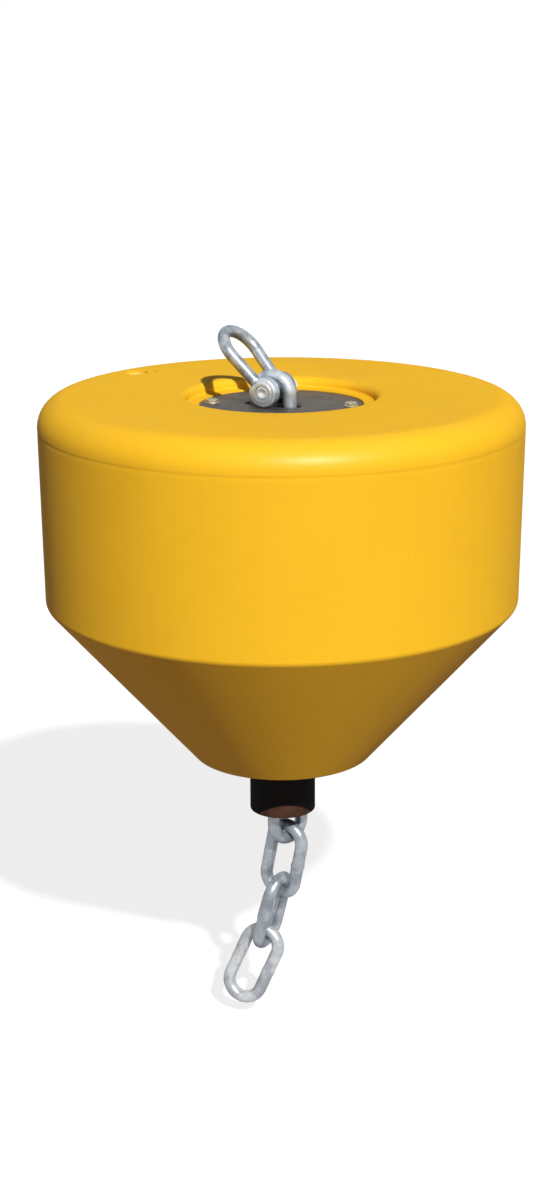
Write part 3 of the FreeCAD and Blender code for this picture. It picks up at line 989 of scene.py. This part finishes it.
@dataclass
class Chain(Assembly):
    """Galvanised chain: a welded, slightly uneven link at every place of the frame's links."""

    bar: float = 22 * MM
    pitch: float = 113 * MM
    inner_width: float = 39 * MM
    tail: int = 4
    bend_segments: int = 56
    bar_segments: int = 28
    leg_cuts: int = 23
    weld_reach: float = 2.8 * MM
    weld_height: float = 1.10
    weld_shares: tuple[float, ...] = (1.6, 0.6)
    runs_size: float = 14 * MM
    runs_depth: float = 0.5 * MM

    @property
    def bend(self) -> float:
        """Radius of the middle of the bar in a link's rounded ends."""
        return (self.inner_width + self.bar) / 2

    def blank(self) -> OBJECT:
        """Model one even link in its own axes.

        Returns:
            The link that every other is copied from.
        """
        leg = self.pitch + self.bar - 2 * self.bend
        half_step = pi / self.bend_segments
        link = start("blank_link", bpy.ops.mesh.primitive_torus_add, major_segments=self.bend_segments,
                     minor_segments=self.bar_segments, major_radius=self.bend, minor_radius=self.bar / 2,
                     rotation=(pi / 2, half_step, 0))
        for side in (-1, 1):
            with editing(link, lambda co, s=side: co.z * s > 0):
                bpy.ops.transform.translate(value=(0, 0, side * leg / 2))
        with editing(link, lambda co: False):
            mesh = bmesh.from_edit_mesh(link.data)
            for edge in mesh.edges:
                edge.select = edge.calc_length() > leg / 2
            mesh.select_flush(True)
            bmesh.update_edit_mesh(link.data)
            bpy.ops.mesh.subdivide(number_cuts=self.leg_cuts)
        return link

    def link(self, blank: OBJECT, name: str, place_of: LinkPlace, weld_side: int, seed: float) -> OBJECT:
        """Finish a copy of the even link and lay it in its place.

        Args:
            blank: the even link.
            name: the piece's name.
            place_of: where it lies.
            weld_side: the leg that carries the weld, -1 or 1.
            seed: shifts the unevenness, so that no two links are alike.
        Returns:
            The link.
        """
        link = copy_of(blank, name)
        self.raise_weld(link, weld_side * self.bend)
        self.roughen(link, seed)
        return place(close_up(link, 60), place_of.matrix())

    def raise_weld(self, link: OBJECT, leg_x: float) -> None:
        """Swell the bar at the weld in the middle of one leg.

        Args:
            link: the link in its own axes.
            leg_x: where that leg's axis is.
        """
        height = sqrt(self.weld_height)
        for share in self.weld_shares:
            with editing(link, lambda co, r=self.weld_reach * share: abs(co.z) < r and co.x * leg_x > 0):
                bpy.ops.transform.resize(value=(height, height, 1), center_override=(leg_x, 0, 0))

    def roughen(self, link: OBJECT, seed: float) -> None:
        """Give the bar the small lumps and runs of its zinc coat.

        Args:
            link: the link in its own axes.
            seed: how far the pattern is shifted.
        """
        texture = bpy.data.textures.new(f"runs_{seed:.0f}", "CLOUDS")
        texture.noise_scale = self.runs_size
        texture.noise_depth = 2
        link.data.transform(Matrix.Translation((seed, 0, 0)))
        apply_modifier(link, "DISPLACE", texture=texture, strength=self.runs_depth, mid_level=0.5,
                       texture_coords="LOCAL")
        link.data.transform(Matrix.Translation((-seed, 0, 0)))

    def hidden_places(self) -> list[LinkPlace]:
        """The places of the links inside the float, read from their one node.

        Returns:
            One place for each link, from the top down.
        """
        with editing(copy_of(bpy.data.objects["inner_chain"], "inner_copy")):
            bpy.ops.mesh.remove_doubles(threshold=0.001 * MM)
            bpy.ops.mesh.separate(type="LOOSE")
        loose = list(bpy.context.selected_objects)
        places = sorted((LinkPlace.of(obj.data) for obj in loose), key=lambda p: -p.middle.z)
        for obj in loose:
            bpy.data.objects.remove(obj)
        return places

    def build(self, frame: dict) -> LinkPlace:
        """Model every link.

        Args:
            frame: the loaded frame.
        Returns:
            The top link's place.
        """
        zinc = Zinc("chain_zinc").build()
        end_zinc = Zinc("end_link_zinc", bright=(0.66, 0.69, 0.72, 1), dull=(0.36, 0.39, 0.43, 1),
                        metallic=0.5, roughness=0.28, stain_amount=0.15).build()
        blank = self.blank()
        inner = [self.link(blank, f"inner_link_{i}", p, 1, 3.0 + i)
                 for i, p in enumerate(self.hidden_places())]
        self.keep(join(inner, "inner_links"), "float", zinc, "chain_zinc", "inner_chain")
        top = LinkPlace.of(frame["nodes"]["top_link"].data)
        top_zinc = Zinc("standing_zinc", bright=(0.62, 0.68, 0.74, 1), dull=(0.38, 0.43, 0.48, 1),
                        roughness=0.28, patch_scale=40.0).build()
        standing = self.link(blank, "standing_link", top, -1, 1.0)
        self.keep(standing, "float", top_zinc, "chain_zinc", "top_link")
        record = frame["record"]["behaviour"]["bodies"]
        for number in range(1, self.tail + 1):
            node = f"chain_link_{number}"
            body = next(name for name, members in record.items() if node in members)
            where = LinkPlace.of(frame["nodes"][node].data)
            side = 1 if number % 2 == 0 else -1
            link = self.link(blank, f"hanging_link_{number}", where, side, 10.0 + number)
            self.keep(link, body, end_zinc if number == self.tail else zinc, "chain_zinc", node)
        bpy.data.objects.remove(blank)
        return top


@dataclass
class Shackle(Assembly):
    """Forged bow shackle: the bow with its bosses, and the screw pin."""

    jaw: float = 36 * MM
    boss_width: float = 20 * MM
    boss_radius: float = 25 * MM
    bow_bar: float = 20 * MM
    pin_radius: float = 11 * MM
    collar_radius: float = 17 * MM
    collar_width: float = 6 * MM
    eye_length: float = 30 * MM
    eye_width: float = 24 * MM
    eye_thickness: float = 10 * MM
    eye_hole: float = 5 * MM
    leg_overlap: float = 5 * MM
    boss_round: float = 5 * MM
    face_rim: float = 1.3 * MM
    rim_share: float = 0.68
    pin_play: float = 0.4 * MM
    tip_proud: float = 1 * MM
    dish_radius: float = 7.5 * MM
    dish_depth: float = 4 * MM
    voxel: float = 0.8 * MM

    def build(self, joint: dict, solid: OBJECT) -> None:
        """Model the bow and its pin on the swing joint's axis.

        Args:
            joint: the swing joint.
            solid: the bow's solid.
        """
        centre, along = Vector(joint["pos_m"]), Vector(joint["axis"]).normalized()
        vertices = solid.data.vertices
        middle = sum((v.co for v in vertices), Vector()) / len(vertices)
        up = middle - centre
        up = (up - along * up.dot(along)).normalized()
        turn = Matrix((along, up.cross(along), up)).transposed().to_4x4()
        matrix = Matrix.Translation(centre) @ turn
        reach = max((v.co - centre).dot(up) for v in vertices)
        ring_radius = max((v.co - centre).dot(along) for v in vertices) - self.bow_bar / 2
        bow = self.bow(ring_radius, reach - self.bow_bar / 2 - ring_radius)
        front_boss = centre - along * (self.jaw + self.boss_width) / 2
        # the bow's zinc carries a painted bright bluish reflection round its front boss
        zinc = Zinc("shackle_zinc", bright=(0.46, 0.505, 0.55, 1), dull=(0.19, 0.225, 0.26, 1),
                    metallic=0.7, roughness=0.27, patch_scale=48.0, reflection_at=tuple(front_boss),
                    reflection_reach=self.boss_radius * 1.15)
        pin_zinc = Zinc("pin_zinc", bright=(0.80, 0.84, 0.87, 1), dull=(0.58, 0.62, 0.66, 1),
                        metallic=0.5, roughness=0.28, patch_scale=60.0)
        self.keep(place(bow, matrix), "shackle", zinc.build(), "shackle_zinc", "shackle_bow")
        self.keep(place(self.pin(), matrix), "shackle", pin_zinc.build(), "pin_zinc", "shackle_pin")

    def forged(self, parts: Sequence[OBJECT], name: str, rounds: int) -> OBJECT:
        """Blend overlapping parts into one forging with soft edges.

        Args:
            parts: closed meshes that overlap.
            name: the forging's name.
            rounds: how many times it is smoothed.
        Returns:
            The forging.
        """
        whole = join(parts, name)
        apply_modifier(whole, "REMESH", mode="VOXEL", voxel_size=self.voxel, use_smooth_shade=True)
        apply_modifier(whole, "SMOOTH", factor=0.5, iterations=rounds)
        return whole

    def bow(self, ring_radius: float, ring_z: float) -> OBJECT:
        """The ring, its two legs and their bosses, pin axis along X and the bow towards +Z.

        Args:
            ring_radius: radius of the middle of the ring's bar.
            ring_z: the ring's middle above the pin.
        Returns:
            The bow.
        """
        leg_x = (self.jaw + self.boss_width) / 2
        reach = hypot(leg_x, ring_z)
        splay = atan2(ring_z, -leg_x) - asin(ring_radius / reach)
        touch_z = sin(splay) * sqrt(reach ** 2 - ring_radius ** 2)
        ring = start("ring", bpy.ops.mesh.primitive_torus_add, major_segments=96, minor_segments=40,
                     major_radius=ring_radius, minor_radius=self.bow_bar / 2, location=(0, 0, ring_z),
                     rotation=(pi / 2, 0, 0))
        with editing(ring):
            bpy.ops.mesh.bisect(plane_co=(0, 0, touch_z), plane_no=(0, 0, 1), clear_inner=True, use_fill=True)
        step = (self.boss_radius - self.leg_overlap - touch_z) / sin(splay)
        for side in (-1, 1):
            with editing(ring, lambda co, s=side: co.z < touch_z + 0.2 * MM and co.x * s > 0):
                move = (side * cos(splay) * step, 0, sin(splay) * step)
                bpy.ops.mesh.extrude_region_move(TRANSFORM_OT_translate={"value": move})
        parts = [close_up(ring)]
        for side in (-1, 1):
            boss = rod("boss", self.boss_radius, self.boss_width, 96, "X", (side * leg_x, 0, 0))
            parts.append(bevel(boss, self.boss_round, 5))
        rim = rod("rim", self.boss_radius * self.rim_share, 2 * self.face_rim, 96, "X",
                  (-leg_x - self.boss_width / 2, 0, 0))
        bow = self.forged([*parts, bevel(rim, 0.6 * MM)], "bow", 6)
        cut_with(bow, rod("hole", self.pin_radius + self.pin_play, 120 * MM, axis="X"))
        return close_up(bow, 40)

    def pin(self) -> OBJECT:
        """The pin with its hollow tip, collar and flat eye.

        Returns:
            The pin, along X with its eye towards +X.
        """
        half = self.jaw / 2 + self.boss_width
        shank = rod("shank", self.pin_radius, 2 * half + 5 * MM, axis="X", at=(1.5 * MM, 0, 0))
        collar = rod("collar", self.collar_radius, self.collar_width, axis="X",
                     at=(half + self.collar_width / 2 + 0.1 * MM, 0, 0))
        eye_x = half + self.collar_width + self.eye_length - self.eye_width / 2
        eye = rod("eye", self.eye_width / 2, self.eye_thickness, axis="Y", at=(eye_x, 0, 0))
        tab = start("tab", bpy.ops.mesh.primitive_cube_add, size=1, location=((half + eye_x) / 2, 0, 0),
                    scale=(eye_x - half - 1 * MM, self.eye_thickness, self.eye_width * 0.9))
        pin = self.forged([bevel(shank, 2 * MM, 4), bevel(collar, 1.5 * MM, 3), eye, tab], "screw_pin", 4)
        cut_with(pin, rod("hole", self.eye_hole, 50 * MM, 48, "Y", (eye_x, 0, 0)))
        dish_x = -half - self.tip_proud + self.dish_depth / 2 - 0.2 * MM
        cut_with(pin, start("dish", bpy.ops.mesh.primitive_cone_add, vertices=48, radius1=self.dish_radius,
                            radius2=self.dish_radius * 0.3, depth=self.dish_depth,
                            rotation=(0, pi / 2, 0), location=(dish_x, 0, 0)))
        return close_up(pin, 40)


# ---- light, floor and camera ----
@dataclass
class Studio:
    """A pale floor and backdrop, one sun-like lamp, soft fill and the camera."""

    distance: float = 3.4487
    height: float = 0.6432
    pitch: float = radians(16.09)
    yaw: float = 0.0022
    roll: float = -0.0041
    lens: float = 63.98
    sun_azimuth: float = 17.5
    sun_elevation: float = 40.5
    sun_strength: float = 3.75
    sun_angle: float = 2.0
    fill_low: float = 0.08
    fill_high: float = 0.11
    bounce: Rgba = (0.215, 0.165, 0.16, 1)
    sun_colour: Xyz = (1.0, 0.985, 0.95)
    floor_gap: float = 0.03
    floor_size: float = 60.0
    floor_colour: Rgba = (0.30, 0.30, 0.30, 1)
    floor_patch: Rgba = (0.285, 0.285, 0.29, 1)
    floor_glow: float = 0.82

    def build(self, deck_z: float, lowest: float) -> None:
        """Set up the whole studio.

        Args:
            deck_z: height of the float's deck.
            lowest: the object's lowest point.
        """
        self.camera(deck_z)
        self.lamps()
        self.world()
        self.floor(lowest - self.floor_gap)
        bpy.context.scene.view_settings.view_transform = "Standard"

    def camera(self, deck_z: float) -> None:
        """Place the camera in front of the float, above its deck.

        Args:
            deck_z: height of the float's deck.
        """
        data = bpy.data.cameras.new("camera")
        data.lens = self.lens
        camera = bpy.data.objects.new("camera", data)
        bpy.context.scene.collection.objects.link(camera)
        turn = (Matrix.Rotation(self.yaw, 4, "Z") @ Matrix.Rotation(pi / 2 - self.pitch, 4, "X")
                @ Matrix.Rotation(self.roll, 4, "Z"))
        camera.matrix_world = Matrix.Translation((0, -self.distance, deck_z + self.height)) @ turn
        bpy.context.scene.camera = camera

    def lamps(self) -> None:
        """One sun-like lamp from the front right."""
        data = bpy.data.lights.new("sun", "SUN")
        data.energy = self.sun_strength
        data.angle = radians(self.sun_angle)
        data.color = self.sun_colour
        lamp = bpy.data.objects.new("sun", data)
        bpy.context.scene.collection.objects.link(lamp)
        azimuth = radians(-90 + self.sun_azimuth)
        elevation = radians(self.sun_elevation)
        towards = Vector((cos(azimuth) * cos(elevation), sin(azimuth) * cos(elevation), sin(elevation)))
        lamp.rotation_euler = towards.to_track_quat("Z", "Y").to_euler()

    def world(self) -> None:
        """A white surround for the camera and for gloss, and a plain soft fill for the rest."""
        world = bpy.data.worlds.new("surround")
        bpy.context.scene.world = world
        world.use_nodes = True
        w = Wiring(world.node_tree)
        towards = w.height_of(w.add("ShaderNodeTexCoord")["Generated"])
        fill = w.ramp(towards, -0.2, 1.0, self.fill_low, self.fill_high)
        strength = w.add("ShaderNodeMix", {0: w.seen(), 2: fill, 3: 1.0}, data_type="FLOAT")[0]
        w.feed(w.tree.nodes["Background"], {"Color": WHITE, "Strength": strength})

    def floor(self, z: float) -> None:
        """A pale floor under the lowest link, clear when it is looked at from below.

        Args:
            z: its height.
        """
        floor = start("floor", bpy.ops.mesh.primitive_plane_add, size=self.floor_size, location=(0, 0, z))
        w = Finish("floor_paint")
        tone = w.group(Group.MOTTLE, Scale=0.8, Plain=self.floor_colour, Patch=self.floor_patch, Cover=0.5)
        seen = w.seen()
        w.set(Base_Color=w.mix(seen, self.bounce, tone["Color"]), Roughness=0.8, Specular_IOR_Level=0.0,
              Emission_Color=WHITE, Emission_Strength=w.times(seen, self.floor_glow))
        below = w.add("ShaderNodeNewGeometry")["Backfacing"]
        clear = w.add("ShaderNodeBsdfTransparent")[0]
        surface = w.add("ShaderNodeMixShader", {0: below, 1: w.shader.outputs[0], 2: clear})[0]
        w.feed(w.tree.nodes["Material Output"], {"Surface": surface})
        floor.data.materials.append(w.material)
        floor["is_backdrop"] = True


def main() -> None:
    """Build every sub-assembly in order around the frame."""
    logging.basicConfig(level=logging.INFO, format="%(name)s: %(message)s")
    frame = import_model()
    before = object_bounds()
    Studio().build(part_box("float_body")[1].z, before[0].z)
    made: list[OBJECT] = []
    Float(made).build()
    ChafeHose(made).build()
    top = Chain(made).build(frame)
    swing = next(joint for joint in frame["joints"] if joint["name"] == "shackle_swing")
    TopPlate(made).build(Vector(swing["pos_m"]), atan2(top.flat.y, top.flat.x))
    Shackle(made).build(swing, frame["nodes"]["shackle_bow"])
    deselect_all()
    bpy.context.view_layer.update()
    for obj in made:
        LOG.info("%s with %d faces", obj.name, len(obj.data.polygons))


if __name__ == "__main__":
    main()
